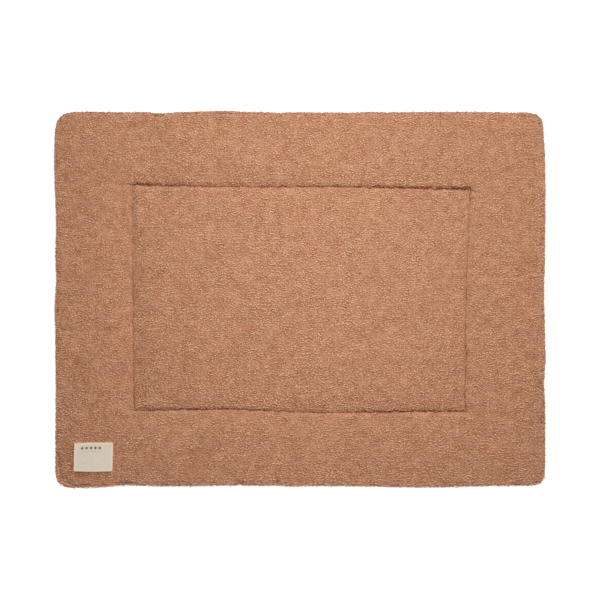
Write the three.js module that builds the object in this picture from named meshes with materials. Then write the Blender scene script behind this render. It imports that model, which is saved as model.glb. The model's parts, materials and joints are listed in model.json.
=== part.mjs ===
// Padded playpen mat of curly teddy cloth, lying flat on its underside: one filled pad that is
// sewn through along an inner rectangle, with a cotton label sewn on at one corner.
// Millimetres, +Z up. The origin is the middle of the underside. +X runs along the mat's
// length, and the label lies at the -X, -Y corner.
import * as THREE from "three";

// The pad, flat and before its cloth wanders. Heights are above the floor, over the pile.
const mat = {
  length: 960,
  width: 733,
  plateau: 21, // height of the filled border and panel near the sewn lines
  rimTop: 13, // the rim stands upright from rimBottom to rimTop
  rimBottom: 6,
  rimRun: 12, // how far in from the rim the top reaches its height
  footRun: 12, // how far in from the rim the underside lies on the floor
  wanderRun: 45, // how far in from the rim its wander is felt
};

// The sewn rectangle: its size, and where the needle really went at each corner.
const sewn = { length: 657, width: 439.5 };
const sewnCorners = {
  backLeft: [-328.9, 224.2],
  backRight: [334.4, 215.2],
  frontRight: [325.4, -220.8],
  frontLeft: [-325.2, -218.9],
};

// How far each sewn line bows between its corners, towards +X or +Y.
const sewnBow = { left: -0.5, right: -4.3, back: 0.7, front: -1.5 };

// The stitches pull the top down in a sharp dip within a soft one, and lift the underside.
const dip = { sharp: 4.6, sharpRun: 4, soft: 5.4, softRun: 15, lift: 3.5, liftRun: 16 };

// How much the filling crowns between two seams.
const crown = { border: 2.4, panel: 2.2 };

// Waves that run along a sewn line, lengthwise or across, and die away from it.
const pucker = { pitch: 112, lift: 0.8, run: 30, start: 6, shiftAlong: 25, shiftAcross: 40 };

const label = {
  length: 76,
  width: 56,
  thickness: 1,
  gap: 0.35, // between the label and the pile under it
  centre: [-404.7, -309.1],
  lean: 1.5, // the front edge is sewn this far towards -X
  stepsLong: 10,
  stepsWide: 8,
};

// Corner radii of the outline.
const cornerRadius = { backLeft: 35, backRight: 34, frontRight: 26, frontLeft: 28 };

// Where the rim swells out (+) or is drawn in (-): the side, the place along it, and reach.
const rimWander = [
  { side: "left", at: 268, reach: 45, out: 2 },
  { side: "left", at: 148, reach: 40, out: -2.2 },
  { side: "left", at: 44, reach: 28, out: -2 },
  { side: "left", at: -24, reach: 22, out: 1.5 },
  { side: "left", at: -200, reach: 140, out: -1.2 },
  { side: "right", at: 324, reach: 32, out: -3.4 },
  { side: "right", at: 205, reach: 30, out: 0.8 },
  { side: "right", at: 10, reach: 60, out: -2.3 },
  { side: "right", at: -118, reach: 20, out: 0.8 },
  { side: "right", at: -162, reach: 22, out: -2.6 },
  { side: "back", at: -350, reach: 25, out: -1 },
  { side: "back", at: -272, reach: 26, out: -2.6 },
  { side: "back", at: -153, reach: 38, out: 2 },
  { side: "back", at: -40, reach: 22, out: -2.2 },
  { side: "back", at: 32, reach: 18, out: -1.8 },
  { side: "back", at: 90, reach: 26, out: -2 },
  { side: "back", at: 176, reach: 22, out: -1 },
  { side: "back", at: 420, reach: 45, out: -1.6 },
  { side: "front", at: -436, reach: 60, out: 3.6 },
  { side: "front", at: -333, reach: 32, out: -1.6 },
  { side: "front", at: -130, reach: 60, out: -1.2 },
  { side: "front", at: -48, reach: 14, out: -1.2 },
  { side: "front", at: -16, reach: 12, out: 1.4 },
  { side: "front", at: 240, reach: 85, out: 2.6 },
  { side: "front", at: 430, reach: 60, out: -1 },
];

// Soft ridges (+) and troughs (-) in the top: middle, half length, half width, turn in
// degrees from +X, and lift. First those in the panel, then those in the border, and last
// the puckers where the sewn lines turn.
const creases = [
  { x: -85, y: -40, long: 62, wide: 16, turn: 8, lift: -1.7 },
  { x: 193, y: -50, long: 50, wide: 13, turn: 18, lift: -1.5 },
  { x: 272, y: -58, long: 42, wide: 12, turn: 4, lift: -1.2 },
  { x: 92, y: -84, long: 44, wide: 14, turn: 16, lift: -1.1 },
  { x: -60, y: -97, long: 60, wide: 20, turn: 24, lift: 1.3 },
  { x: -3, y: -164, long: 46, wide: 14, turn: 5, lift: -1.2 },
  { x: -124, y: 141, long: 60, wide: 16, turn: -3, lift: -1.2 },
  { x: -38, y: 176, long: 60, wide: 24, turn: 0, lift: 1.2 },
  { x: -308, y: -86, long: 22, wide: 40, turn: 0, lift: -1.8 },
  { x: 398, y: 113, long: 96, wide: 30, turn: -58, lift: 2 },
  { x: 431, y: 199, long: 76, wide: 26, turn: -70, lift: -1.8 },
  { x: 362, y: 42, long: 24, wide: 20, turn: 0, lift: -1.8 },
  { x: 448, y: -120, long: 24, wide: 30, turn: 0, lift: 1.4 },
  { x: 326, y: 266, long: 44, wide: 30, turn: 20, lift: 1.8 },
  { x: -94, y: 268, long: 56, wide: 22, turn: -6, lift: 1.5 },
  { x: -18, y: 254, long: 20, wide: 20, turn: 0, lift: -1.4 },
  { x: -288, y: 280, long: 26, wide: 20, turn: 0, lift: -1.4 },
  { x: -410, y: -60, long: 40, wide: 26, turn: 8, lift: -1.3 },
  { x: -404, y: 196, long: 30, wide: 30, turn: 0, lift: 1.2 },
  { x: -346, y: 224.5, long: 24, wide: 7, turn: 0, lift: -3 },
  { x: 347, y: 206, long: 20, wide: 7, turn: -38, lift: -2.6 },
  { x: 337, y: -229, long: 16, wide: 7, turn: -45, lift: -1.4 },
  { x: -336, y: -226, long: 16, wide: 7, turn: 40, lift: -1.4 },
];

// Distances of the surface's grid lines from the rim and from a sewn line, and how many
// lines lie between.
const rimLines = [0, 2, 6, 13];
const sewnLines = [16, 6, 0, -6, -16];
const borderLines = 4;
const panelPitch = 21;

const palette = { teddy: "#b98465", label: "#cdc1af" };

const half = { x: mat.length / 2, y: mat.width / 2 };
const sewnHalf = { x: sewn.length / 2, y: sewn.width / 2 };

const clampUnit = (t) => Math.min(Math.max(t, -1), 1);
const bell = (away, reach) => Math.exp(-((away / reach) ** 2));

// A quarter round: 0 at the rim and 1 once it is inset by the whole run.
const roundOver = (inset, run) => Math.sqrt(1 - (1 - Math.min(inset / run, 1)) ** 2);

function roundOverBoth(x, y, run) {
  return roundOver(half.x - Math.abs(x), run) * roundOver(half.y - Math.abs(y), run);
}

// How far a point is from the sewn rectangle, on either side of it.
function awayFromSewnLine(x, y) {
  const pastX = Math.abs(x) - sewnHalf.x;
  const pastY = Math.abs(y) - sewnHalf.y;
  if (pastX <= 0 && pastY <= 0) return Math.min(-pastX, -pastY);
  return Math.hypot(Math.max(pastX, 0), Math.max(pastY, 0));
}

// Turns the square corner of the cut into a round one, leaving the rest where it is.
function roundCorner(x, y) {
  const name = (y > 0 ? "back" : "front") + (x > 0 ? "Right" : "Left");
  const radius = cornerRadius[name];
  const a = (Math.abs(x) - (half.x - radius)) / radius;
  const b = (Math.abs(y) - (half.y - radius)) / radius;
  if (a <= 0 || b <= 0) return [x, y];
  const roundX = half.x - radius + radius * a * Math.sqrt(1 - (b * b) / 2);
  const roundY = half.y - radius + radius * b * Math.sqrt(1 - (a * a) / 2);
  return [Math.sign(x) * roundX, Math.sign(y) * roundY];
}

// How far the sewn rectangle's real corners and bowed lines pull a point of the cut: all
// the way inside the rectangle, and less and less out to the rim.
function sewnPull(x, y, axis) {
  const alongX = clampUnit(x / sewnHalf.x);
  const alongY = clampUnit(y / sewnHalf.y);
  const right = (alongX + 1) / 2;
  const back = (alongY + 1) / 2;
  const off = {};
  for (const [name, corner] of Object.entries(sewnCorners)) {
    const sign = { x: name.endsWith("Right") ? 1 : -1, y: name.startsWith("back") ? 1 : -1 };
    off[name] = corner[axis === "x" ? 0 : 1] - sign[axis] * sewnHalf[axis];
  }
  const front = THREE.MathUtils.lerp(off.frontLeft, off.frontRight, right);
  const rear = THREE.MathUtils.lerp(off.backLeft, off.backRight, right);
  const bowX = THREE.MathUtils.lerp(sewnBow.left, sewnBow.right, right) * (1 - alongY ** 2);
  const bowY = THREE.MathUtils.lerp(sewnBow.front, sewnBow.back, back) * (1 - alongX ** 2);
  const bow = axis === "x" ? bowX : bowY;
  const outX = (half.x - Math.abs(x)) / (half.x - sewnHalf.x);
  const outY = (half.y - Math.abs(y)) / (half.y - sewnHalf.y);
  return (THREE.MathUtils.lerp(front, rear, back) + bow) * Math.min(outX, outY, 1);
}

// The rim's wander on one side, at a place along it.
function wander(side, along) {
  let out = 0;
  for (const row of rimWander) {
    if (row.side === side) out += row.out * bell(along - row.at, row.reach);
  }
  return out;
}

// Where a point of the flat cut lies in plan on the finished mat.
function inPlan(x, y) {
  const [roundX, roundY] = roundCorner(x, y);
  const sideX = wander(x > 0 ? "right" : "left", y) * Math.sign(x);
  const sideY = wander(y > 0 ? "back" : "front", x) * Math.sign(y);
  const nearX = bell(half.x - Math.abs(x), mat.wanderRun);
  const nearY = bell(half.y - Math.abs(y), mat.wanderRun);
  return [
    roundX + sewnPull(x, y, "x") + sideX * nearX,
    roundY + sewnPull(x, y, "y") + sideY * nearY,
  ];
}

// The point of the flat cut that ends up at a place of the finished mat.
function onCut(planX, planY) {
  let x = planX;
  let y = planY;
  for (let i = 0; i < 6; i++) {
    const [atX, atY] = inPlan(x, y);
    x += planX - atX;
    y += planY - atY;
  }
  return [x, y];
}

function creaseLift(x, y) {
  let lift = 0;
  for (const crease of creases) {
    const turn = THREE.MathUtils.degToRad(crease.turn);
    const dx = x - crease.x;
    const dy = y - crease.y;
    const along = dx * Math.cos(turn) + dy * Math.sin(turn);
    const across = dy * Math.cos(turn) - dx * Math.sin(turn);
    lift += crease.lift * bell(along, crease.long) * bell(across, crease.wide);
  }
  return lift;
}

function puckerLift(x, y) {
  const away = awayFromSewnLine(x, y);
  const beside = Math.abs(x) > sewnHalf.x;
  const along = beside ? y + pucker.shiftAcross : x + Math.sign(y) * pucker.shiftAlong;
  const wave = Math.sin((2 * Math.PI * along) / pucker.pitch);
  return pucker.lift * wave * Math.exp(-away / pucker.run) * (1 - Math.exp(-away / pucker.start));
}

// The filling's crown: highest halfway between two seams.
function crownLift(x, y) {
  const inRectangle = Math.abs(x) < sewnHalf.x && Math.abs(y) < sewnHalf.y;
  if (inRectangle) {
    const acrossX = 1 - (x / sewnHalf.x) ** 4;
    const acrossY = 1 - (y / sewnHalf.y) ** 4;
    return crown.panel * acrossX * acrossY;
  }
  const toRim = Math.min(half.x - Math.abs(x), half.y - Math.abs(y));
  const toLine = awayFromSewnLine(x, y);
  const share = toLine / (toLine + toRim);
  return crown.border * 4 * share * (1 - share);
}

// Height of the top over a point of the cut, with the pile's tips.
function topHeight(x, y) {
  const away = awayFromSewnLine(x, y);
  const [planX, planY] = inPlan(x, y);
  const pulled = dip.sharp * Math.exp(-away / dip.sharpRun) + dip.soft * Math.exp(-away / dip.softRun);
  const lifted = crownLift(x, y) + puckerLift(x, y) + creaseLift(planX, planY);
  const filled = mat.plateau + lifted - pulled;
  return mat.rimTop + (filled - mat.rimTop) * roundOverBoth(x, y, mat.rimRun);
}

// Height of the underside: on the floor, but for the rim and the sewn line.
function undersideHeight(x, y) {
  const lifted = dip.lift * Math.max(0, 1 - awayFromSewnLine(x, y) / dip.liftRun) ** 2;
  return mat.rimBottom * (1 - roundOverBoth(x, y, mat.footRun)) + lifted;
}

// Grid lines across half the mat, from the middle to the rim, mirrored to the other half.
function gridLines(rim, line) {
  const nearLine = sewnLines.map((away) => line + away);
  const nearRim = rimLines.map((inset) => rim - inset);
  const panelEdge = Math.min(...nearLine);
  const borderStart = Math.max(...nearLine);
  const borderEnd = Math.min(...nearRim);
  const panelSteps = Math.round(panelEdge / panelPitch);
  const positive = [...nearLine, ...nearRim];
  for (let i = 1; i < panelSteps; i++) positive.push((panelEdge * i) / panelSteps);
  for (let i = 1; i <= borderLines; i++) {
    positive.push(THREE.MathUtils.lerp(borderStart, borderEnd, i / (borderLines + 1)));
  }
  return [...positive.map((at) => -at), 0, ...positive].sort((a, b) => a - b);
}

function makePad() {
  const columns = gridLines(half.x, sewnHalf.x);
  const rows = gridLines(half.y, sewnHalf.y);
  // A box of side 1 gives each vertex its column, its row, and whether it is top or underside.
  const geometry = new THREE.BoxGeometry(1, 1, 1, columns.length - 1, rows.length - 1, 1);
  const position = geometry.getAttribute("position");
  for (let i = 0; i < position.count; i++) {
    const x = columns[Math.round((position.getX(i) + 0.5) * (columns.length - 1))];
    const y = rows[Math.round((position.getY(i) + 0.5) * (rows.length - 1))];
    const height = position.getZ(i) > 0 ? topHeight(x, y) : undersideHeight(x, y);
    position.setXYZ(i, ...inPlan(x, y), height);
  }
  const cloth = new THREE.MeshStandardMaterial({ color: palette.teddy, roughness: 0.96, metalness: 0 });
  const mesh = new THREE.Mesh(geometry, cloth);
  mesh.name = "mat_pad";
  return mesh;
}

// The label is a thin sheet that follows the top, a little above it.
function makeLabel() {
  const geometry = new THREE.BoxGeometry(label.length, label.width, 1, label.stepsLong, label.stepsWide, 1);
  const position = geometry.getAttribute("position");
  for (let i = 0; i < position.count; i++) {
    const x = label.centre[0] + position.getX(i) + (label.lean * position.getY(i)) / label.width;
    const y = label.centre[1] + position.getY(i);
    const above = label.gap + (position.getZ(i) > 0 ? label.thickness : 0);
    position.setXYZ(i, x, y, topHeight(...onCut(x, y)) + above);
  }
  const cloth = new THREE.MeshStandardMaterial({ color: palette.label, roughness: 0.9, metalness: 0 });
  const mesh = new THREE.Mesh(geometry, cloth);
  mesh.name = "corner_label";
  return mesh;
}

const playpenMat = new THREE.Group();
playpenMat.add(makePad(), makeLabel());

// The cloth's wander leaves the outline a little off centre: the origin is its middle.
const middle = new THREE.Box3().setFromObject(playpenMat).getCenter(new THREE.Vector3());
playpenMat.position.set(-middle.x, -middle.y, 0);

export default playpenMat;
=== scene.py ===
# A padded playpen mat of curly teddy cloth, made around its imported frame. Metres, +Z up.
# The mat lies flat and is seen from straight above, with its back edge at the picture's top.
import json
import math
import bpy
import numpy as np
from mathutils import Matrix, Vector, bvhtree, kdtree, noise

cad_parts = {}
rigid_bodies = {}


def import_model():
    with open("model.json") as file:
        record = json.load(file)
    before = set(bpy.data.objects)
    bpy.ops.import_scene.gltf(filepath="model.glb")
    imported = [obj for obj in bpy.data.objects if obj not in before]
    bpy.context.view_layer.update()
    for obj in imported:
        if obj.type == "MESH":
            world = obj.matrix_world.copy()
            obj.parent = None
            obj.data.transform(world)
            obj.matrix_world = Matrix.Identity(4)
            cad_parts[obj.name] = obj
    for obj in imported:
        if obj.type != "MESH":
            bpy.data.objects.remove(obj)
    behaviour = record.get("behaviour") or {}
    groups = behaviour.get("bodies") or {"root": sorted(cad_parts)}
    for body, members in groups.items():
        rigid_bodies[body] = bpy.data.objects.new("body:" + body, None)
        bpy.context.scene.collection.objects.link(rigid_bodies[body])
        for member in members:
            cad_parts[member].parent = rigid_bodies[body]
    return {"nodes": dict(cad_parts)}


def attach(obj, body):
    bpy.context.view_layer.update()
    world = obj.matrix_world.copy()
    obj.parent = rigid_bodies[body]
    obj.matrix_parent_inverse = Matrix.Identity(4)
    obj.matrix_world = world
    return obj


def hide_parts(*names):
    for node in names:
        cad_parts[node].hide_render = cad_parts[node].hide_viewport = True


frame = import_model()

scene = bpy.context.scene
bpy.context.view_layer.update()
mm = 0.001
layoutMiddle = Vector((0.56, 0.81, 0)) * mm  # the sewn layout's middle, in the frame


# Small helpers

def deselectAll():
    if bpy.context.object and bpy.context.object.mode != "OBJECT":
        bpy.ops.object.mode_set(mode="OBJECT")
    bpy.ops.object.select_all(action="DESELECT")


def pickOnly(piece):
    deselectAll()
    piece.select_set(True)
    bpy.context.view_layer.objects.active = piece


def applyNew(piece, kind, **settings):  # adds one modifier, sets it and applies it
    pickOnly(piece)
    modifier = piece.modifiers.new(kind.title(), kind)
    for name, value in settings.items():
        setattr(modifier, name, value)
    bpy.ops.object.modifier_apply(modifier=modifier.name)


def readPoints(mesh, what="co"):
    points = np.empty(len(mesh.vertices) * 3)
    mesh.vertices.foreach_get(what, points)
    return points.reshape(-1, 3)


def writePoints(mesh, points):
    mesh.vertices.foreach_set("co", np.ascontiguousarray(points).ravel())
    mesh.update()


def bell(away, reach):
    return np.exp(-(away / reach) ** 2)


def ramp(value, start, end):  # 0 at start, 1 at end, and smooth between
    part = np.clip((value - start) / (end - start), 0, 1)
    return part * part * (3 - 2 * part)


def noiseAt(points, size, seed=0):
    shift = Vector((seed * 7.3, seed * 3.1, seed * 1.7))
    return np.array([noise.noise(Vector(p) / size + shift) for p in points])


def surfaceOf(piece):
    return bvhtree.BVHTree.FromObject(piece, bpy.context.evaluated_depsgraph_get())


def heightOn(surface, x, y, side=1):  # height of a surface's top (side 1) or underside (side -1)
    hit = surface.ray_cast(Vector((x, y, side)), Vector((0, 0, -side)))[0]
    return hit.z if hit else 0.0


def addNode(tree, kind, inputs=None, **settings):  # one node, with its sockets filled or linked
    node = tree.nodes.new(kind)
    for name, value in settings.items():
        setattr(node, name, value)
    for socket, value in (inputs or {}).items():
        if isinstance(value, bpy.types.NodeSocket):
            tree.links.new(value, node.inputs[socket])
        else:
            node.inputs[socket].default_value = value
    return node


def addMath(tree, operation, *values):
    return addNode(tree, "ShaderNodeMath", dict(enumerate(values)), operation=operation).outputs[0]


# The sewn line: for each side, how far along it, how far out in millimetres, and how hard its
# thread pulls the cloth in, from 0 to 1

sewnLine = {
    "back": [(-328.9, 224.2, 1.0), (-286, 222.6, 0.95), (-204, 220.8, 0.7), (-110, 219.6, 0.45),
             (-64, 219, 0.6), (31, 220.5, 0.55), (95, 219.4, 0.8), (161, 218.5, 0.95),
             (243, 216.7, 0.95), (334.4, 215.2, 1.0)],
    "right": [(215.2, 334.4, 0.6), (188, 332.4, 0.45), (165, 331, 0.2), (114, 329.4, 0.2), (68, 326.9, 0.15),
              (18, 325.8, 0.18), (-62, 324, 0.25), (-120, 325.6, 0.4), (-179, 322.4, 0.38),
              (-220.8, 325.4, 0.5)],
    "front": [(325.4, -220.8, 0.55), (298, -220.4, 0.6), (196, -221.2, 0.8), (120, -222, 0.6),
              (39, -223.1, 0.45), (-4, -221.5, 0.3), (-70, -219, 0.5), (-149, -215.8, 0.6),
              (-200, -216.7, 0.6), (-243, -217.4, 0.55), (-325.2, -218.9, 0.45)],
    "left": [(-218.9, -325.2, 0.45), (-132, -326.5, 0.32), (-2, -327.9, 0.25), (118, -328.9, 0.08),
             (198, -328.9, 0.04), (224.2, -328.9, 0.4)],
}
# Where the cloth is drawn in past the sewn line's corners: start, end, and the pull at the start
tucks = [((-328.9, 224.2), (-364, 224.7), 0.55), ((334.4, 215.2), (344.4, 208.2), 1.0),
         ((334.4, 215.2), (346.4, 219.2), 0.5), ((325.4, -220.8), (333.4, -228.8), 0.4),
         ((-325.2, -218.9), (-336, -217.9), 0.3)]
lineStep = 0.5  # millimetres between the points that stand for the line
lineSoft = 41   # how many of them are averaged to round its bends
lineWaver = 2.6  # millimetres that it strays by
lineWave = 13.0  # millimetres from one wave of that to the next
lineEase = 15    # millimetres from a corner over which it starts to stray


def noiseAlong(along, size, seed=0):
    return np.array([noise.noise(Vector((a / size, seed * 5.0, 0))) for a in along])


def sidePoints(name):
    knots = sewnLine[name]
    start, end = knots[0][0], knots[-1][0]
    count = int(abs(end - start) / lineStep)
    along = np.linspace(start, end, count)
    order = sorted(knots)
    out = np.interp(along, [k[0] for k in order], [k[1] for k in order])
    pull = np.interp(along, [k[0] for k in order], [k[2] for k in order])
    padded = np.pad(out, lineSoft // 2, mode="reflect", reflect_type="odd")
    out = np.convolve(padded, np.ones(lineSoft) / lineSoft, mode="valid")
    fromEnds = np.minimum(abs(along - start), abs(along - end))
    out = out + lineWaver * noiseAlong(along, lineWave, 8) * ramp(fromEnds, 0, lineEase)
    lengthwise = name in ("back", "front")
    return np.stack([along, out, pull] if lengthwise else [out, along, pull], 1)


def tuckPoints(start, end, pull):
    count = int(math.dist(start, end) / lineStep)
    part = np.linspace(0, 1, count)[:, None]
    return np.hstack([np.array(start) * (1 - part) + np.array(end) * part, pull * (1 - part)])


sewnPoints = np.concatenate([sidePoints(name) for name in ("back", "right", "front", "left")])
drawnIn = np.concatenate([sewnPoints] + [tuckPoints(*tuck) for tuck in tucks])
linePulls = drawnIn[:, 2]
linePoints = drawnIn[:, :2] * mm + np.array(layoutMiddle[:2])
lineTree = kdtree.KDTree(len(linePoints))
for index, (x, y) in enumerate(linePoints):
    lineTree.insert((x, y, 0), index)
lineTree.balance()


def fromLine(points):  # for each point: how far the sewn line is, where along it, the spot, and its pull
    found = [lineTree.find((x, y, 0)) for x, y, _ in points]
    away = np.array([f[2] for f in found])
    places = np.array([f[1] for f in found])
    return away, places * lineStep * mm, np.array([f[0][:2] for f in found]), linePulls[places]


# The label's place on the mat

labelShape = {
    "width": 76 * mm,
    "depth": 56 * mm,
    "middle": layoutMiddle + Vector((-404.7, -309.1, 0)) * mm,
    "lean": 1.5 * mm,       # the back edge is sewn this far towards +X
    "thick": 0.8 * mm,
    "hem": 5 * mm,          # the edges are turned in this far
    "hemStep": 1.2 * mm,    # and step down to the single cloth over this much
    "hemLift": 0.16 * mm,
    "seam": 2.2 * mm,       # how far in from the edge it is sewn
    "seamDeep": 0.3 * mm,
    "seamSoft": 0.9 * mm,
    "edgeDrop": 0.25 * mm,  # the very edge lies this much lower
    "edgeSoft": 0.8 * mm,
    "wave": 0.25 * mm,
    "waveSize": 22 * mm,
    "bevel": 0.24 * mm,
    "slip": 1.6 * mm,       # the back edge is sewn this much lower at its left end
    "bow": 0.9 * mm,        # and the front edge bows out this far
    "inner": 0.97,          # heights are read a little inside the solid's edge
    "across": 58,
    "along": 44,
}


def labelSlip(u, v):  # how far up a spot is sewn off its place; u and v run from -0.5 to 0.5
    slipped = -labelShape["slip"] * ramp(-u, 0.1, 0.5) * (0.5 + v)
    return slipped - labelShape["bow"] * (1 - 4 * u * u) * (0.5 - v)


def labelPlace(u, v):
    x = labelShape["middle"].x + labelShape["width"] * u + labelShape["lean"] * v
    return x, labelShape["middle"].y + labelShape["depth"] * v + labelSlip(u, v)


def insideLabel(points):  # how far each point is inside the label's edge
    dy = points[:, 1] - labelShape["middle"].y
    dx = points[:, 0] - labelShape["middle"].x - labelShape["lean"] * dy / labelShape["depth"]
    u, v = np.clip(dx / labelShape["width"], -0.5, 0.5), np.clip(dy / labelShape["depth"], -0.5, 0.5)
    dy = dy - labelSlip(u, v)
    return np.minimum(labelShape["width"] / 2 - abs(dx), labelShape["depth"] / 2 - abs(dy))


# The pad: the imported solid, a pile's depth smaller, filled and then sewn down

padShape = {
    "pile": 4.2 * mm,      # the cloth lies this far under the pile's tips
    "rimPile": 0.4 * mm,   # and this far at the rim, where the pile lies flatter
    "shoulder": 5 * mm,    # and its edge is as full as the cloth this far further in
    "slack": 3.2 * mm,     # how much lower it starts where it can puff
    "voxel": 8 * mm,
    "pressure": 4,
    "frames": 20,
    "clothMass": 0.3,
    "clothEase": -0.012,   # the cloth is cut this share larger than it lies
    "mostPuff": 4.2 * mm,
    "sewnHold": 6 * mm,    # cloth this near the sewn line doesn't puff
    "sewnEase": 16 * mm,   # and it puffs freely this much further out
    "rimHold": 0.45,       # nor does cloth whose normal rises no more than this
    "rimFrom": 60 * mm,    # the rim's shoulder is looked for this far from the sewn line
    "creaseDeep": 3.4 * mm,
    "creaseLeast": 0.35,   # the share of its depth that is there with no pull at all
    "creaseUneven": 0.5,
    "creaseWave": 30 * mm,
    "creaseNear": 3.4 * mm,
    "creaseFloor": 4.9 * mm,  # the crease's bottom stays this high
    "creaseSide": 20 * mm,    # within this of the line
    "creaseSnap": 0.6 * mm,   # points this near the line are drawn onto it
    "creaseFine": (7.5 * mm, 3 * mm),  # cloth this near the line has its faces halved, and again
    "puckerLift": 2.2 * mm,
    "puckerPitch": 16.2 * mm,
    "puckerStart": 8 * mm,
    "puckerReach": 30 * mm,
    "lumpLift": 0.3 * mm,
    "lumpSize": 13 * mm,
}

# Soft ridges (+) and troughs (-): middle, half length, half width, turn in degrees, and lift
creases = [
    (-85, -40, 62, 14, 8, -0.9), (193, -50, 50, 11, 18, -1.0), (272, -58, 42, 10, 4, -0.9),
    (92, -84, 44, 12, 16, -0.7), (-60, -97, 60, 18, 24, 0.7), (-3, -164, 46, 12, 5, -0.8),
    (-124, 141, 60, 14, -3, -0.7), (-38, 176, 60, 22, 0, 0.5), (-308, -86, 20, 34, 0, -0.9),
    (398, 113, 96, 26, -58, 1.0), (431, 199, 76, 22, -70, -1.0), (362, 42, 20, 17, 0, -1.0),
    (448, -120, 22, 26, 0, 0.7), (326, 266, 40, 26, 20, 0.9), (-94, 268, 52, 18, -6, 0.8),
    (-18, 254, 18, 17, 0, -0.8), (-288, 280, 24, 18, 0, -0.8), (-410, -60, 36, 22, 8, -0.7),
]


def creaseLift(points):
    lift = np.zeros(len(points))
    for x, y, long, wide, turn, height in creases:
        dx = points[:, 0] - x * mm - layoutMiddle.x
        dy = points[:, 1] - y * mm - layoutMiddle.y
        cos, sin = math.cos(math.radians(turn)), math.sin(math.radians(turn))
        along, across = dx * cos + dy * sin, dy * cos - dx * sin
        lift += height * mm * bell(along, long * mm) * bell(across, wide * mm)
    return lift


def freeToPuff(points, normals):  # 0 where the cloth is sewn or at the rim, 1 in the open
    away = fromLine(points)[0]
    fromSeam = ramp(away, padShape["sewnHold"], padShape["sewnHold"] + padShape["sewnEase"])
    return fromSeam * ramp(normals[:, 2], padShape["rimHold"], 0.95)


def makePad():
    cad = frame["nodes"]["mat_pad"]
    deselectAll()
    pad = bpy.data.objects.new("teddy_pad", cad.data.copy())
    scene.collection.objects.link(pad)
    pickOnly(pad)
    bpy.ops.object.mode_set(mode="EDIT")
    bpy.ops.mesh.select_all(action="SELECT")
    bpy.ops.mesh.remove_doubles(threshold=0.00001)
    bpy.ops.object.mode_set(mode="OBJECT")
    applyNew(pad, "REMESH", mode="VOXEL", voxel_size=padShape["voxel"])
    points, normals = readPoints(pad.data), readPoints(pad.data, "normal")
    slack = padShape["slack"]
    lower = np.maximum(normals[:, 2], 0) * (padShape["pile"] + slack * freeToPuff(points, normals))
    points[:, :2] -= normals[:, :2] * padShape["rimPile"]
    points[:, 2] -= lower
    writePoints(pad.data, points)
    return pad


def fillPad(pad):  # cloth under pressure, held where it is sewn and where it lies on the floor
    before = readPoints(pad.data)
    free = freeToPuff(before, readPoints(pad.data, "normal"))
    group = pad.vertex_groups.new(name="held")
    group.add([int(i) for i in np.flatnonzero(free < 0.02)], 1.0, "REPLACE")
    pickOnly(pad)
    bpy.ops.object.modifier_add(type="CLOTH")
    cloth = pad.modifiers[-1]
    cloth.settings.quality = 4
    cloth.settings.mass = padShape["clothMass"]
    cloth.settings.use_pressure = True
    cloth.settings.uniform_pressure_force = padShape["pressure"]
    cloth.settings.effector_weights.gravity = 0
    cloth.settings.vertex_group_mass = "held"
    cloth.settings.shrink_min = padShape["clothEase"]
    cloth.collision_settings.use_collision = False
    cloth.point_cache.frame_start = 1
    cloth.point_cache.frame_end = padShape["frames"]
    for step in range(1, padShape["frames"] + 1):
        scene.frame_set(step)
    filled = pad.evaluated_get(bpy.context.evaluated_depsgraph_get())
    moved = readPoints(filled.data) - before
    bpy.ops.object.modifier_remove(modifier=cloth.name)
    scene.frame_set(1)
    pad.vertex_groups.clear()
    length = np.linalg.norm(moved, axis=1, keepdims=True) + 1e-9
    most = padShape["mostPuff"]
    print("puff, largest and mean (mm):", (length.max() / mm).round(1), (length.mean() / mm).round(1))
    capped = moved / length * most * np.tanh(length / most)
    writePoints(pad.data, before + capped * free[:, None])


def halveFaces(pad, smoothness, chosen):  # chosen says yes or no to each face and its way to the line
    away = fromLine([face.center for face in pad.data.polygons])[0]
    pickOnly(pad)
    bpy.ops.object.mode_set(mode="EDIT")
    bpy.ops.mesh.select_mode(type="FACE")
    bpy.ops.mesh.select_all(action="DESELECT")
    bpy.ops.object.mode_set(mode="OBJECT")
    for face, near in zip(pad.data.polygons, away):
        face.select = bool(chosen(face, near))
    bpy.ops.object.mode_set(mode="EDIT")
    bpy.ops.mesh.subdivide(number_cuts=1, smoothness=smoothness)
    bpy.ops.object.mode_set(mode="OBJECT")


def refinePad(pad):  # one subdivision, but not of the underside, which lies flat, and more at the line
    halveFaces(pad, 1, lambda face, near: face.normal.z > -0.7 or near < padShape["creaseSide"])
    for reach in padShape["creaseFine"]:
        halveFaces(pad, 0, lambda face, near: face.normal.z > 0.3 and near < reach)


def trueRim(pad):  # the remesh blunts the rim, so it is drawn back onto its solid's outline
    level = 1 - abs(readPoints(pad.data, "normal")[:, 2])
    group = pad.vertex_groups.new(name="rim")
    for index, weight in enumerate(ramp(level, 0.15, 0.6)):
        if weight > 0:
            group.add([index], float(weight), "REPLACE")
    applyNew(pad, "SHRINKWRAP", target=frame["nodes"]["mat_pad"], wrap_method="NEAREST_SURFACEPOINT",
             wrap_mode="ABOVE_SURFACE", offset=-padShape["rimPile"], vertex_group="rim")
    pad.vertex_groups.clear()
    cadTop = surfaceOf(frame["nodes"]["mat_pad"])
    points, normals = readPoints(pad.data), readPoints(pad.data, "normal")
    away = fromLine(points)[0]
    slope = np.linalg.norm(normals[:, :2], axis=1)
    for i in np.flatnonzero((normals[:, 2] > 0.1) & (slope > 0.15) & (away > padShape["rimFrom"])):
        inward = points[i, :2] - normals[i, :2] / slope[i] * padShape["shoulder"]
        points[i, 2] = max(points[i, 2], heightOn(cadTop, *inward) - padShape["pile"])
    writePoints(pad.data, points)


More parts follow.
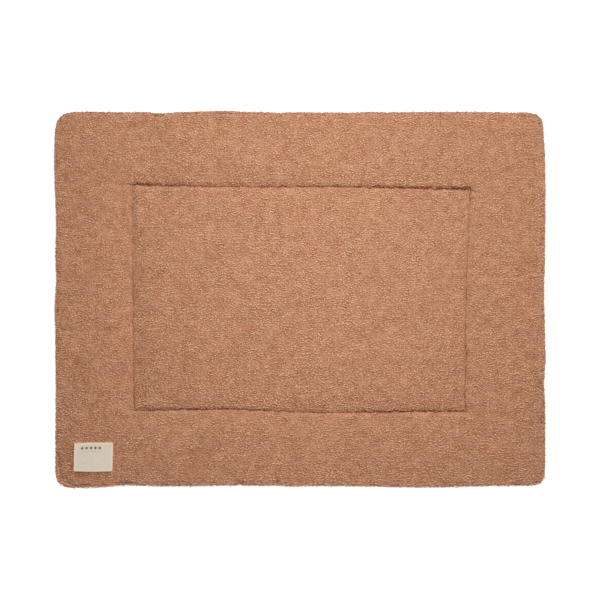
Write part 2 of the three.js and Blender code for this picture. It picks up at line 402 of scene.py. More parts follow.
def sewPad(pad):  # the crease, its puckers, the soft folds and the cloth's small lumps
    points, normals = readPoints(pad.data), readPoints(pad.data, "normal")
    away, along, nearest, pull = fromLine(points)
    top = ramp(normals[:, 2], 0.05, 0.6)
    upward = normals[:, 2] > 0.3
    least = padShape["creaseLeast"]
    deep = padShape["creaseDeep"] * (least + (1 - least) * pull)
    deep *= 1 + padShape["creaseUneven"] * noiseAlong(along, padShape["creaseWave"])
    wave = noiseAlong(along, padShape["puckerPitch"], 1)
    fade = np.exp(-away / padShape["puckerReach"]) * (1 - np.exp(-away / padShape["puckerStart"]))
    lift = creaseLift(points) + padShape["puckerLift"] * wave * fade
    lift += padShape["lumpLift"] * noiseAt(points, padShape["lumpSize"])
    snapped = upward & (away < padShape["creaseSnap"])
    points[snapped, :2] = nearest[snapped]
    away[snapped] = 0
    lift -= deep * np.exp(-away / padShape["creaseNear"])
    points[:, 2] += lift * top
    near = upward & (away < padShape["creaseSide"])
    points[near, 2] = np.maximum(points[near, 2], padShape["creaseFloor"])
    under = insideLabel(points)
    cadTop = surfaceOf(frame["nodes"]["mat_pad"])
    for i in np.flatnonzero(upward & (under > -4 * mm)):
        firm = float(ramp(under[i], -3.5 * mm, -0.5 * mm))
        beneath = heightOn(cadTop, points[i, 0], points[i, 1]) - 0.4 * mm
        points[i, 2] += firm * (beneath - points[i, 2])
    points[:, 2] = np.maximum(points[:, 2], 0)
    writePoints(pad.data, points)
    pickOnly(pad)
    bpy.ops.object.shade_smooth()


pad = makePad()
fillPad(pad)
refinePad(pad)
trueRim(pad)
sewPad(pad)
print("pad:", sum(len(f.vertices) - 2 for f in pad.data.polygons), "triangles")


# One strand: a thin round that is spun through one or more turns, closed to a point at its ends

def makeStrand(name, thick, turns):  # turns: steps, degrees and radius in metres, and the axis
    deselectAll()
    radius = turns[0][2]
    bpy.ops.mesh.primitive_circle_add(vertices=3, radius=thick, location=(-radius, 0, 0))
    strand = bpy.context.object
    strand.name = name
    pickOnly(strand)
    bpy.ops.object.transform_apply(location=True, rotation=True, scale=True)
    bpy.ops.object.mode_set(mode="EDIT")
    bpy.ops.mesh.select_all(action="SELECT")
    centre = Vector((0, 0, 0))
    reached = 0
    for steps, degrees, turnRadius, axis in turns:
        bpy.ops.mesh.spin(steps=steps, angle=math.radians(degrees), center=centre, axis=axis)
        reached += math.radians(degrees)
        # the next turn's centre lies straight across the strand from this one's
        end = centre + Vector((-math.cos(reached), 0, math.sin(reached))) * turnRadius
        centre = end * 2 - centre
    bpy.ops.mesh.select_mode(type="EDGE")
    bpy.ops.mesh.select_all(action="DESELECT")
    bpy.ops.mesh.select_non_manifold()
    bpy.ops.mesh.edge_collapse()
    bpy.ops.mesh.select_all(action="SELECT")
    bpy.ops.mesh.normals_make_consistent(inside=False)
    bpy.ops.object.mode_set(mode="OBJECT")
    return strand


# The pile: a few curls, modelled once each, and grown over the pad in six pieces

curl = {
    "thick": 1.1 * mm,     # a strand's radius
    "spacing": 3.05 * mm,  # no two curls are nearer than this
    "most": 150000,        # curls a square metre, before the nearest are thinned
    "spin": 0.8,           # how far a curl turns from the mat's length, in radians
    "tilt": 0.35,
    "small": 0.78,
    "large": 1.05,
    "tall": 3.4 * mm,      # height of the tallest curl's top, for the shade painted by height
    "lowest": 0.2 * mm,    # no curl hangs lower than this over the floor
}
# Each curl: its strand's turns, how far it is tipped over in degrees, and its height in mm
curlShapes = {
    "curl_arch": {"turns": [(4, 180, 2.2, (0, -1, 0))], "tip": 12, "height": -0.3},
    "curl_leaning": {"turns": [(4, 190, 2.1, (0, -1, 0))], "tip": 46, "height": -0.1},
    "curl_hook": {"turns": [(4, 240, 1.8, (0, -1, 0))], "tip": 66, "height": 0.9},
    "curl_ess": {"turns": [(2, 120, 1.7, (0, -1, 0)), (2, 120, 1.7, (0, 1, 0))], "tip": 70,
                 "height": 1.5},
}


def makeCurl(name, shape):
    turns = [(steps, degrees, radius * mm, axis) for steps, degrees, radius, axis in shape["turns"]]
    strand = makeStrand(name, curl["thick"], turns)
    points = readPoints(strand.data)
    writePoints(strand.data, points - points.mean(0) * [1, 1, 0])
    pickOnly(strand)
    tip = math.radians(shape["tip"])
    bpy.ops.transform.rotate(value=-tip, orient_axis="X", center_override=(0, 0, 0))
    bpy.ops.object.transform_apply(location=True, rotation=True, scale=True)
    strand.data.transform(Matrix.Translation((0, 0, shape["height"] * mm)))
    # how high each point of the curl is, for the shade painted low in the pile
    rise = np.clip(readPoints(strand.data)[:, 2] / curl["tall"], 0, 1)
    strand.data.attributes.new("curlRise", "FLOAT", "POINT").data.foreach_set("value", rise)
    return strand


curlMeshes = bpy.data.collections.new("curlShapes")
for name, shape in curlShapes.items():
    strand = makeCurl(name, shape)
    for home in list(strand.users_collection):
        home.objects.unlink(strand)
    curlMeshes.objects.link(strand)

# Where each piece of pile grows: which side of the sewn line, or which half of the panel
pilePlots = ["pile_panel_left", "pile_panel_right", "pile_back", "pile_front", "pile_left", "pile_right"]


def lineAt(name, along):  # how far out a side of the sewn line is, in millimetres
    order = sorted(sewnLine[name])
    return np.interp(along, [k[0] for k in order], [k[1] for k in order])


def plotsOf(points):
    x, y = ((points[:, :2] - np.array(layoutMiddle[:2])) / mm).T
    past = [y > lineAt("back", x), y < lineAt("front", x), x < lineAt("left", y), x > lineAt("right", y)]
    return np.select(past, [3, 4, 5, 6], np.where(x < 0, 1, 2))


pileLay = {
    "grain": 2.4 * mm,       # the size of the tufts that hang over the crease
    "tuftReach": 1.6 * mm,
    "bare": 1.0 * mm,        # the pile parts this far from the line where the pull is hardest
    "bareUneven": 1.6,
    "bareWave": 9 * mm,
    "bareEdge": 0.8 * mm,    # and thickens again over this much
    "labelBare": 1.3 * mm,   # none grows under the label, nor this near it
    "pressed": 0.72,         # how small the curls are at the line, and again at the rim
    "pressedTo": 8 * mm,
    "rimShadeReach": 9 * mm,          # the painted shade at the rim reaches this far in
    "dark": 1.2 * mm,        # the painted shade on the pile in the crease reaches this far
    "darkPull": 1.3 * mm,    # and this much further where the pull is hardest
    "darkBack": 3.2 * mm,    # and further still on its back side, which faces down the mat, away from the key lamp
    "darkUneven": 0.8,
    "darkWaves": (18 * mm, 14 * mm),  # in how far it reaches, and in how dark it is
    "darkest": 0.9,
    "darkTufts": 3.2,
}


def keepValues(pad, name, values):
    pad.data.attributes.new(name, "FLOAT", "POINT").data.foreach_set("value", values)


def wayToRim(points, normals):
    side = points[abs(normals[:, 2]) < 0.7]
    sideTree = kdtree.KDTree(len(side))
    for index, (x, y, _) in enumerate(side):
        sideTree.insert((x, y, 0), index)
    sideTree.balance()
    return np.array([sideTree.find((x, y, 0))[2] for x, y, _ in points])


def creaseShade(points, grain):  # how dark the pile is painted in the crease, from 0 to 1: painted shade
    away, along, nearest, pull = fromLine(points)
    reachWave, darkWave = pileLay["darkWaves"]
    backSide = ramp((points[:, 1] - nearest[:, 1]) / np.maximum(away, 0.1 * mm), -0.2, 0.6)
    further = (pileLay["darkPull"] + pileLay["darkBack"] * backSide) * pull
    reach = (pileLay["dark"] + further) * (1 + pileLay["darkUneven"] * noiseAlong(along, reachWave, 3))
    inside = np.clip(1 - away / reach, 0, 1)
    shade = pull * (pileLay["darkest"] * inside + pileLay["darkTufts"] * grain * ramp(inside, 0, 0.3))
    return np.clip(shade * (1 + pileLay["darkUneven"] * noiseAlong(along, darkWave, 4)), 0, 1)


def markPad(pad):  # which plot each face is in, and how the pile grows and is coloured there
    plots = pad.data.attributes.new("plot", "INT", "FACE")
    middles = np.array([face.center for face in pad.data.polygons])
    upward = np.array([face.normal.z for face in pad.data.polygons])
    grows = (upward > -0.8) & (middles[:, 2] > np.where(upward < 0, 2.5, 1.5) * mm)
    plots.data.foreach_set("value", np.where(grows, plotsOf(middles), 0))
    points, normals = readPoints(pad.data), readPoints(pad.data, "normal")
    away, along, _, pull = fromLine(points)
    uneven = noiseAlong(along, pileLay["bareWave"], 2)
    bare = pileLay["bare"] * pull * (1 + pileLay["bareUneven"] * uneven)
    grain = noiseAt(points, pileLay["grain"], 6)
    torn = away + pileLay["tuftReach"] * grain
    thick = ramp(torn, bare, bare + pileLay["bareEdge"] * pull + 0.1 * mm)
    thick[(insideLabel(points) > -pileLay["labelBare"]) & (normals[:, 2] > 0)] = 0
    thick[(away < padShape["creaseSide"]) & (normals[:, 2] < 0)] = 0
    keepValues(pad, "pile", thick)
    pressed = pileLay["pressed"]
    tame = pressed + (1 - pressed) * ramp(away, 1 * mm, pileLay["pressedTo"])
    tame *= pressed + (1 - pressed) * ramp(normals[:, 2], 0.2, 0.8)
    keepValues(pad, "tame", tame)
    # how near the rim each point is, for the painted shade there
    keepValues(pad, "rimPaintedShade", 1 - ramp(wayToRim(points, normals), 1 * mm, pileLay["rimShadeReach"]))
    keepValues(pad, "crease", creaseShade(points, grain))


def pileNodes():
    tree = bpy.data.node_groups.new("growPile", "GeometryNodeTree")
    tree.interface.new_socket("Geometry", in_out="INPUT", socket_type="NodeSocketGeometry")
    tree.interface.new_socket("Plot", in_out="INPUT", socket_type="NodeSocketInt")
    tree.interface.new_socket("Geometry", in_out="OUTPUT", socket_type="NodeSocketGeometry")
    given = tree.nodes.new("NodeGroupInput")
    plot = addNode(tree, "GeometryNodeInputNamedAttribute", {"Name": "plot"}, data_type="INT")
    same = addNode(tree, "FunctionNodeCompare", {2: plot.outputs[0], 3: given.outputs["Plot"]},
                   data_type="INT", operation="EQUAL")
    thick = addNode(tree, "GeometryNodeInputNamedAttribute", {"Name": "pile"}, data_type="FLOAT")
    spots = addNode(tree, "GeometryNodeDistributePointsOnFaces", {
        "Mesh": given.outputs["Geometry"], "Selection": same.outputs[0], "Distance Min": curl["spacing"],
        "Density Max": curl["most"], "Density Factor": thick.outputs[0], "Seed": given.outputs["Plot"],
    }, distribute_method="POISSON")
    tame = addNode(tree, "GeometryNodeInputNamedAttribute", {"Name": "tame"}, data_type="FLOAT")
    upright = addNode(tree, "FunctionNodeAlignRotationToVector", {
        "Vector": spots.outputs["Normal"]}, axis="Z")
    lengthwise = addNode(tree, "FunctionNodeAlignRotationToVector", {
        "Rotation": upright.outputs[0], "Vector": (1, 0, 0)}, axis="X", pivot_axis="Z")
    spin = addNode(tree, "FunctionNodeRandomValue", {2: -curl["spin"], 3: curl["spin"], "Seed": 3},
                   data_type="FLOAT")
    lean = addNode(tree, "FunctionNodeRandomValue", {
        0: (-curl["tilt"],) * 3, 1: (curl["tilt"],) * 3, "Seed": 4}, data_type="FLOAT_VECTOR")
    leaning = addNode(tree, "ShaderNodeVectorMath", {0: lean.outputs[0], "Scale": tame.outputs[0]},
                      operation="SCALE")
    parts = addNode(tree, "ShaderNodeSeparateXYZ", {0: leaning.outputs[0]})
    turn = addNode(tree, "ShaderNodeCombineXYZ", {
        0: parts.outputs[0], 1: parts.outputs[1], 2: spin.outputs[1]})
    turned = addNode(tree, "FunctionNodeRotateRotation", {
        "Rotation": lengthwise.outputs[0], "Rotate By": turn.outputs[0]}, rotation_space="LOCAL")
    size = addNode(tree, "FunctionNodeRandomValue", {2: curl["small"], 3: curl["large"], "Seed": 5},
                   data_type="FLOAT")
    shapes = addNode(tree, "GeometryNodeCollectionInfo", {
        "Collection": curlMeshes, "Separate Children": True, "Reset Children": True})
    kind = addNode(tree, "FunctionNodeRandomValue", {4: 0, 5: len(curlShapes) - 1, "Seed": 7},
                   data_type="INT")
    grown = addNode(tree, "GeometryNodeInstanceOnPoints", {
        "Points": spots.outputs["Points"], "Instance": shapes.outputs[0], "Pick Instance": True,
        "Instance Index": kind.outputs[2], "Rotation": turned.outputs[0],
        "Scale": addMath(tree, "MULTIPLY", size.outputs[1], tame.outputs[0])})
    tone = addNode(tree, "FunctionNodeRandomValue", {2: 0.0, 3: 1.0, "Seed": 11}, data_type="FLOAT")
    toned = addNode(tree, "GeometryNodeStoreNamedAttribute", {
        "Geometry": grown.outputs[0], "Name": "curlTone", "Value": tone.outputs[1]},
        data_type="FLOAT", domain="INSTANCE")
    real = addNode(tree, "GeometryNodeRealizeInstances", {"Geometry": toned.outputs[0]})
    position = tree.nodes.new("GeometryNodeInputPosition")
    place = addNode(tree, "ShaderNodeSeparateXYZ", {0: position.outputs[0]})
    above = addNode(tree, "ShaderNodeCombineXYZ", {
        0: place.outputs[0], 1: place.outputs[1],
        2: addMath(tree, "MAXIMUM", place.outputs[2], curl["lowest"])})
    settled = addNode(tree, "GeometryNodeSetPosition", {
        "Geometry": real.outputs[0], "Position": above.outputs[0]})
    smooth = addNode(tree, "GeometryNodeSetShadeSmooth", {"Geometry": settled.outputs[0]})
    addNode(tree, "NodeGroupOutput", {"Geometry": smooth.outputs[0]})
    return tree


def growPile(pad, name, plot, tree):
    piece = bpy.data.objects.new(name, pad.data.copy())
    scene.collection.objects.link(piece)
    pickOnly(piece)
    modifier = piece.modifiers.new("Pile", "NODES")
    modifier.node_group = tree
    plotSocket = [s for s in tree.interface.items_tree if s.name == "Plot"][0]
    modifier[plotSocket.identifier] = plot
    bpy.ops.object.modifier_apply(modifier=modifier.name)
    print(name + ":", sum(len(f.vertices) - 2 for f in piece.data.polygons), "triangles")
    return piece


markPad(pad)
tree = pileNodes()
pilePieces = [growPile(pad, name, plot + 1, tree) for plot, name in enumerate(pilePlots)]
for strand in list(curlMeshes.objects):
    bpy.data.objects.remove(strand)


# Sewing: one stitch, repeated and bent along a path

sewing = {
    "padLong": 3.3 * mm, "padPitch": 4.1 * mm, "padThick": 0.42 * mm,
    "labelLong": 1.9 * mm, "labelPitch": 2.5 * mm, "labelThick": 0.2 * mm,
    "flat": 0.35,          # a stitch's arch is this high for its half length
    "spotStep": 12,        # every so many of the line's points guide the thread
    "topLift": 0.15 * mm,
    "underDrop": 0.1 * mm,
    "labelLift": 0.04 * mm,
    "labelSteps": 20,      # guiding points on each side of the label
}


def sewAlong(name, path, long, pitch, thick, above=True):
    closed = np.vstack([path, path[:1]])
    whole = np.linalg.norm(np.diff(closed, axis=0), axis=1).sum()
    count = round(whole / pitch)
    stitches = makeStrand(name, thick, [(4, 180, long / 2, (0, -1, 0))])
    points = readPoints(stitches.data) * [1, 1, sewing["flat"] * (1 if above else -1)]
    writePoints(stitches.data, points + [long / 2, 0, 0])
    curve = bpy.data.curves.new(name + "Path", "CURVE")
    curve.dimensions = "3D"
    curve.twist_mode = "Z_UP"
    spline = curve.splines.new("POLY")
    spline.points.add(len(path) - 1)
    spline.points.foreach_set("co", np.column_stack([path, np.ones(len(path))]).ravel())
    spline.use_cyclic_u = True
    guide = bpy.data.objects.new(name + "Path", curve)
    scene.collection.objects.link(guide)
    applyNew(stitches, "ARRAY", count=count, use_relative_offset=False, use_constant_offset=True,
             constant_offset_displace=(whole / count, 0, 0))
    applyNew(stitches, "CURVE", object=guide, deform_axis="POS_X")
    bpy.data.objects.remove(guide)
    pickOnly(stitches)
    bpy.ops.object.mode_set(mode="EDIT")
    bpy.ops.mesh.select_all(action="SELECT")
    bpy.ops.mesh.normals_make_consistent(inside=False)
    bpy.ops.object.mode_set(mode="OBJECT")
    bpy.ops.object.shade_smooth()
    print(name + ":", sum(len(f.vertices) - 2 for f in stitches.data.polygons), "triangles")
    return stitches


def sewPadThread(pad):
    surface = surfaceOf(pad)
    spots = linePoints[:len(sewnPoints):sewing["spotStep"]]
    top = [(x, y, heightOn(surface, x, y) + sewing["topLift"]) for x, y in spots]
    under = [(x, y, heightOn(surface, x, y, -1) - sewing["underDrop"]) for x, y in spots]
    sizes = [sewing["padLong"], sewing["padPitch"], sewing["padThick"]]
    return [sewAlong("sewn_thread_top", np.array(top), *sizes),
            sewAlong("sewn_thread_under", np.array(under), *sizes, above=False)]


padThreads = sewPadThread(pad)


# The label: a woven sheet on its solid's place, with turned-in edges, sewn down all round

def makeLabel():
    cadTop = surfaceOf(frame["nodes"]["corner_label"])
    deselectAll()
    bpy.ops.mesh.primitive_grid_add(x_subdivisions=labelShape["across"],
                                    y_subdivisions=labelShape["along"], size=1)
    label = bpy.context.object
    label.name = "cotton_label"
    points = readPoints(label.data)
    inner = labelShape["inner"]
    for point in points:
        u, v = point[:2]
        x, y = labelPlace(u, v)
        overX = labelShape["middle"].x + (labelShape["width"] * u + labelShape["lean"] * v) * inner
        z = heightOn(cadTop, overX, labelShape["middle"].y + labelShape["depth"] * v * inner)
        point[:] = x, y, z - labelShape["thick"] / 2 - 0.1 * mm
    inside = insideLabel(points)
    hemEnd = labelShape["hem"]
    lift = labelShape["hemLift"] * (1 - ramp(inside, hemEnd - labelShape["hemStep"], hemEnd))
    lift -= labelShape["seamDeep"] * bell(inside - labelShape["seam"], labelShape["seamSoft"])
    lift -= labelShape["edgeDrop"] * bell(inside, labelShape["edgeSoft"])
    lift += labelShape["wave"] * noiseAt(points, labelShape["waveSize"], 9)
    points[:, 2] += lift
    writePoints(label.data, points)
    applyNew(label, "SOLIDIFY", thickness=labelShape["thick"], offset=0, use_even_offset=True)
    applyNew(label, "BEVEL", width=labelShape["bevel"], segments=2, limit_method="ANGLE", angle_limit=0.9)
    pickOnly(label)
    bpy.ops.object.shade_smooth()
    print("label:", sum(len(f.vertices) - 2 for f in label.data.polygons), "triangles")
    return label


def sewLabelThread(label):
    surface = surfaceOf(label)
    halfU = 0.5 - labelShape["seam"] / labelShape["width"]
    halfV = 0.5 - labelShape["seam"] / labelShape["depth"]
    corners = [(-1, -1), (1, -1), (1, 1), (-1, 1), (-1, -1)]
    path = []
    for (u0, v0), (u1, v1) in zip(corners, corners[1:]):
        steps = sewing["labelSteps"]
        for step in range(steps):
            u, v = u0 + (u1 - u0) * step / steps, v0 + (v1 - v0) * step / steps
            x, y = labelPlace(u * halfU, v * halfV)
            path.append((x, y, heightOn(surface, x, y) + sewing["labelLift"]))
    return sewAlong("label_thread", np.array(path), sewing["labelLong"], sewing["labelPitch"],
                    sewing["labelThick"])


label = makeLabel()
labelThread = sewLabelThread(label)


# Materials

teddy = {
    "deep": (0.2, 0.043, 0.0),     # low in the pile: painted shade in its depths
    "light": (0.845, 0.523, 0.33),  # and high in it, out of that painted shade
    "middle": 0.4,                 # the height between the two, as a share of the tallest curl
    "contrast": 3.8,
    "contrastPatches": 28.0,       # patches of stronger and weaker painted shade, in a metre
    "shift": -0.02,
    "patches": (30.0, 0.16),       # softer patches in a metre, and how much they count
    "fibres": (900.0, 0.2),
    "eachCurl": 0.35,              # how much the curls differ from one another
    "tipsFrom": 0.62,
    "tips": 0.44,                  # how far the tips above that are painted back towards the deep colour: painted shade that damps their highlights
    "palest": (0.08, 0.12, 0),     # the pile is painted palest here, in metres: painted light, where the lamps light the mat most
    "palestReach": (0.75, 1.2, 1),
    "paintedLightPaling": 0.35,
    "rim": (0.52, 0.43, 0.33),     # and greyer at the rim: painted shade along its edge
    "rimShadeShare": 0.5,
    # painted shade: the cloth under the pile is darker, as seen deep between the curls
    "shadedBase": (0.28, 0.07, 0.02),
    # painted shade in the crease, on both the pile and the cloth under it
    "crease": (0.19, 0.033, 0.007),
    "thread": (0.26, 0.085, 0.035),
}
cotton = {
    "cloth": (0.61, 0.535, 0.447),
    "hem": (0.75, 0.585, 0.44),
    "thread": (0.74, 0.66, 0.53),
    "mark": (0.055, 0.05, 0.045),
    "warps": 180,   # threads across the label
    "wefts": 134,
    "hemFrom": 3.2,  # millimetres from the edge where the turned-in cloth starts to show less
    "hemTo": 4.6,
}
# The label's row of lozenges and the rule under it: millimetres from its front left corner
labelRow = {
    "start": 11.5,
    "end": 54.5,
    "pitch": 8.6,
    "up": 45.6,
    "halfWide": 0.36,   # of the pitch
    "halfTall": 3.3,
    "ruleUp": 38.6,
    "ruleHalf": 0.3,
    "ruleDark": 0.55,
    "dark": 0.85,
}


def newMaterial(name):
    material = bpy.data.materials.new(name)
    material.use_nodes = True
    shader = material.node_tree.nodes["Principled BSDF"]
    shader.inputs["Roughness"].default_value = 0.95
    shader.inputs["Specular IOR Level"].default_value = 0.2
    return material, material.node_tree, shader


def addBump(tree, shader, height, strength, distance):
    bump = addNode(tree, "ShaderNodeBump", {"Height": height, "Strength": strength, "Distance": distance})
    tree.links.new(bump.outputs[0], shader.inputs["Normal"])


def mixColours(tree, factor, first, second):
    first = first if isinstance(first, bpy.types.NodeSocket) else (*first, 1)
    second = second if isinstance(second, bpy.types.NodeSocket) else (*second, 1)
    mixed = addNode(tree, "ShaderNodeMix", {"Factor": factor, 6: first, 7: second}, data_type="RGBA")
    return mixed.outputs[2]


def noiseIn(tree, place, scale, detail=2.0):
    speckle = addNode(tree, "ShaderNodeTexNoise", {"Vector": place, "Scale": scale, "Detail": detail})
    return speckle.outputs["Fac"]


def makeTeddyCurls():
    material, tree, shader = newMaterial("teddyCurls")
    place = addNode(tree, "ShaderNodeTexCoord").outputs["Object"]
    tone = addNode(tree, "ShaderNodeAttribute", attribute_name="curlTone").outputs["Fac"]
    rise = addNode(tree, "ShaderNodeAttribute", attribute_name="curlRise").outputs["Fac"]
    # Painted shade: the curls are coloured darker the lower they lie, standing in for the shade deep in the
    # pile
    shadeContrast = addMath(tree, "MULTIPLY", noiseIn(tree, place, teddy["contrastPatches"]), teddy["contrast"])
    height = addMath(tree, "SUBTRACT", rise, teddy["middle"])
    shadeByHeight = addMath(tree, "MULTIPLY_ADD", height, shadeContrast, teddy["shift"])
    patchScale, patchShare = teddy["patches"]
    patch = addMath(tree, "MULTIPLY_ADD", noiseIn(tree, place, patchScale, 3.0), patchShare, shadeByHeight)
    fibreScale, fibreShare = teddy["fibres"]
    fibres = addMath(tree, "MULTIPLY_ADD", noiseIn(tree, place, fibreScale), fibreShare, patch)
    # Painted light: the pile is paler towards the middle, where the lamps fall most
    spread = addNode(tree, "ShaderNodeMapping", {
        "Vector": place, "Location": teddy["palest"], "Scale": teddy["palestReach"]}, vector_type="TEXTURE")
    pale = addNode(tree, "ShaderNodeTexGradient", {"Vector": spread.outputs[0]}, gradient_type="SPHERICAL")
    paler = addMath(tree, "MULTIPLY_ADD", pale.outputs["Fac"], teddy["paintedLightPaling"], fibres)
    factor = addNode(tree, "ShaderNodeClamp", {
        "Value": addMath(tree, "MULTIPLY_ADD", tone, teddy["eachCurl"], paler)})
    # Painted shade on the curls' tips, where the lamps light them most
    tips = addNode(tree, "ShaderNodeMapRange", {
        "Value": rise, "From Min": teddy["tipsFrom"], "From Max": 1.0,
        "To Min": 0.0, "To Max": teddy["tips"]})
    paleness = addMath(tree, "SUBTRACT", factor.outputs[0], tips.outputs[0])
    dyedShadedAndLit = mixColours(tree, paleness, teddy["deep"], teddy["light"])
    # Painted shade: the pile greys towards the rim
    atRim = addNode(tree, "ShaderNodeAttribute", attribute_name="rimPaintedShade").outputs["Fac"]
    colour = mixColours(tree, addMath(tree, "MULTIPLY", atRim, teddy["rimShadeShare"]), dyedShadedAndLit, teddy["rim"])
    # Painted shade in the crease, less on the curls' tops
    inCrease = addNode(tree, "ShaderNodeAttribute", attribute_name="crease").outputs["Fac"]
    depth = addMath(tree, "MULTIPLY", inCrease, addMath(tree, "MULTIPLY_ADD", rise, -0.25, 1.0))
    tree.links.new(mixColours(tree, depth, colour, teddy["crease"]), shader.inputs["Base Color"])
    addBump(tree, shader, noiseIn(tree, place, 1800.0), 0.6, 0.3 * mm)
    shader.inputs["Specular IOR Level"].default_value = 0.04
    return material


def makeTeddyCloth():
    material, tree, shader = newMaterial("teddyCloth")
    place = addNode(tree, "ShaderNodeTexCoord").outputs["Object"]
    curls = addNode(tree, "ShaderNodeTexVoronoi", {"Vector": place, "Scale": 420.0}, feature="SMOOTH_F1")
    height = addMath(tree, "SUBTRACT", 1.0, curls.outputs["Distance"])
    factor = addMath(tree, "MULTIPLY", height, noiseIn(tree, place, 60.0, 3.0))
    # Painted shade: darker between the cloth's small bumps
    colour = mixColours(tree, factor, teddy["shadedBase"], teddy["light"])
    # Painted shade in the crease
    inCrease = addNode(tree, "ShaderNodeAttribute", attribute_name="crease").outputs["Fac"]
    tree.links.new(mixColours(tree, inCrease, colour, teddy["crease"]), shader.inputs["Base Color"])
    addBump(tree, shader, height, 1.0, 1.5 * mm)
    return material


def makeThread(name, colour):
    material, tree, shader = newMaterial(name)
    place = addNode(tree, "ShaderNodeTexCoord").outputs["Object"]
    fibres = noiseIn(tree, place, 1500.0)
    darker = tuple(c * 0.75 for c in colour)
    tree.links.new(mixColours(tree, fibres, darker, colour), shader.inputs["Base Color"])
    addBump(tree, shader, fibres, 0.5, 0.1 * mm)
    shader.inputs["Roughness"].default_value = 0.7
    return material


def wayFrom(tree, value, middle):
    return addMath(tree, "ABSOLUTE", addMath(tree, "SUBTRACT", value, middle))


def labelMarks(tree, u, v):  # where the lozenges and the rule are, from 0 to 1
    across = addMath(tree, "MULTIPLY", u, labelShape["width"] / mm)
    up = addMath(tree, "MULTIPLY", v, labelShape["depth"] / mm)
    fromStart = addMath(tree, "SUBTRACT", across, labelRow["start"])
    cell = addMath(tree, "FRACT", addMath(tree, "DIVIDE", fromStart, labelRow["pitch"]))
    dx = addMath(tree, "DIVIDE", wayFrom(tree, cell, 0.5), labelRow["halfWide"])
    dy = addMath(tree, "DIVIDE", wayFrom(tree, up, labelRow["up"]), labelRow["halfTall"])
    lozenge = addMath(tree, "LESS_THAN", addMath(tree, "ADD", dx, dy), 1.0)
    inRow = addMath(tree, "MULTIPLY", addMath(tree, "GREATER_THAN", across, labelRow["start"]),
                    addMath(tree, "LESS_THAN", across, labelRow["end"]))
    rule = addMath(tree, "LESS_THAN", wayFrom(tree, up, labelRow["ruleUp"]), labelRow["ruleHalf"])
    drawn = addMath(tree, "MAXIMUM", lozenge, addMath(tree, "MULTIPLY", rule, labelRow["ruleDark"]))
    return addMath(tree, "MULTIPLY", addMath(tree, "MULTIPLY", drawn, inRow), labelRow["dark"])


def makeCotton():
    material, tree, shader = newMaterial("labelCotton")
    uv = addNode(tree, "ShaderNodeTexCoord").outputs["UV"]
    axes = addNode(tree, "ShaderNodeSeparateXYZ", {0: uv})
    u, v = axes.outputs[0], axes.outputs[1]
    warp = addMath(tree, "SINE", addMath(tree, "MULTIPLY", u, cotton["warps"] * math.pi))
    weft = addMath(tree, "SINE", addMath(tree, "MULTIPLY", v, cotton["wefts"] * math.pi))
    weave = addMath(tree, "ADD", addMath(tree, "ABSOLUTE", warp), addMath(tree, "ABSOLUTE", weft))
    over = addMath(tree, "MULTIPLY_ADD", addMath(tree, "MULTIPLY", warp, weft), 0.3, weave)
    fromEdge = [addMath(tree, "MULTIPLY", addMath(tree, "PINGPONG", socket, 0.5), side / mm)
                for socket, side in ((u, labelShape["width"]), (v, labelShape["depth"]))]
    edge = addMath(tree, "MINIMUM", *fromEdge)
    hem = addNode(tree, "ShaderNodeMapRange", {
        "Value": edge, "From Min": cotton["hemFrom"], "From Max": cotton["hemTo"],
        "To Min": 1.0, "To Max": 0.0})
    slubs = addNode(tree, "ShaderNodeMapping", {"Vector": uv, "Scale": (6, 150, 1)})
    uneven = noiseIn(tree, slubs.outputs[0], 1.0, 3.0)
    ground = mixColours(tree, hem.outputs[0], cotton["cloth"], cotton["hem"])
    shaded = addMath(tree, "MULTIPLY_ADD", uneven, 0.5, addMath(tree, "MULTIPLY_ADD", over, 0.08, 0.62))
    toned = addNode(tree, "ShaderNodeMix", {"Factor": 1.0, 6: ground, 7: shaded}, data_type="RGBA",
                    blend_type="MULTIPLY").outputs[2]
    marked = mixColours(tree, labelMarks(tree, u, v), toned, cotton["mark"])
    tree.links.new(marked, shader.inputs["Base Color"])
    addBump(tree, shader, over, 0.5, 0.12 * mm)
    return material


def dress(piece, material):
    piece.data.materials.clear()
    piece.data.materials.append(material)
    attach(piece, "root")


dress(pad, makeTeddyCloth())
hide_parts("mat_pad")
teddyCurls = makeTeddyCurls()
for piece in pilePieces:
    dress(piece, teddyCurls)
padThreadMaterial = makeThread("padThread", teddy["thread"])
for piece in padThreads:
    dress(piece, padThreadMaterial)
dress(label, makeCotton())
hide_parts("corner_label")
dress(labelThread, makeThread("labelThread", cotton["thread"]))
print("dressed:", len(pilePieces) + len(padThreads) + 3, "pieces")


# Floor, light and camera

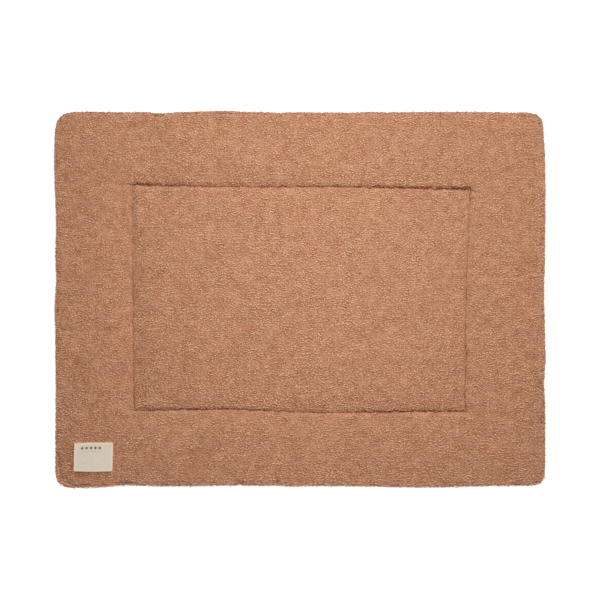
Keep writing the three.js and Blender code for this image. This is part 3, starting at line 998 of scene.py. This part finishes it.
studio = {
    "cameraHeight": 6.0,
    "pixel": 1.96 * mm,     # at the height of the sewn line and the rim
    "picture": 600,
    "meetsAt": 12 * mm,
    "aim": (-0.4 * mm, -2.2 * mm),  # where it looks, from the layout's middle
    "sky": 0.42,
    "floorSize": 8,
    "floorColour": (0.93, 0.93, 0.93, 1),
    "floorGlow": 0.65,      # keeps the pale floor an even white
    "lamps": {              # place, width, depth and watts
        "keyLamp": ((0.8, 2.6, 2.7), 2.4, 1.5, 95),
        "topLamp": ((0.02, 0.19, 0.95), 0.8, 0.6, 5.0),
        "frontFill": ((0, -2.4, 0.45), 2.4, 0.6, 16),
    },
}


def makeStudio():
    deselectAll()
    bpy.ops.mesh.primitive_plane_add(size=studio["floorSize"], location=(0, 0, 0))
    floor = bpy.context.object
    floor.name = "floor"
    material, tree, shader = newMaterial("floorPaint")
    shader.inputs["Base Color"].default_value = studio["floorColour"]
    shader.inputs["Emission Color"].default_value = (1, 1, 1, 1)
    shader.inputs["Emission Strength"].default_value = studio["floorGlow"]
    floor.data.materials.append(material)
    for name, (place, width, depth, watts) in studio["lamps"].items():
        bpy.ops.object.light_add(type="AREA", location=place)
        lamp = bpy.context.object
        lamp.name = name
        lamp.data.shape = "RECTANGLE"
        lamp.data.size = width
        lamp.data.size_y = depth
        lamp.data.energy = watts
        lamp.rotation_euler = (-lamp.location).to_track_quat("-Z", "Y").to_euler()
    world = bpy.data.worlds.new("studioSky")
    world.use_nodes = True
    world.node_tree.nodes["Background"].inputs["Color"].default_value = (1, 1, 1, 1)
    world.node_tree.nodes["Background"].inputs["Strength"].default_value = studio["sky"]
    scene.world = world
    scene.view_settings.view_transform = "Standard"
    camera = bpy.data.objects.new("camera", bpy.data.cameras.new("camera"))
    scene.collection.objects.link(camera)
    camera.location = layoutMiddle + Vector((*studio["aim"], studio["cameraHeight"]))
    reach = studio["cameraHeight"] - studio["meetsAt"]
    camera.data.sensor_width = 36
    camera.data.lens = 36 * reach / (studio["picture"] * studio["pixel"])
    scene.camera = camera


makeStudio()
print("studio: floor,", len(studio["lamps"]), "lamps, sky and camera")
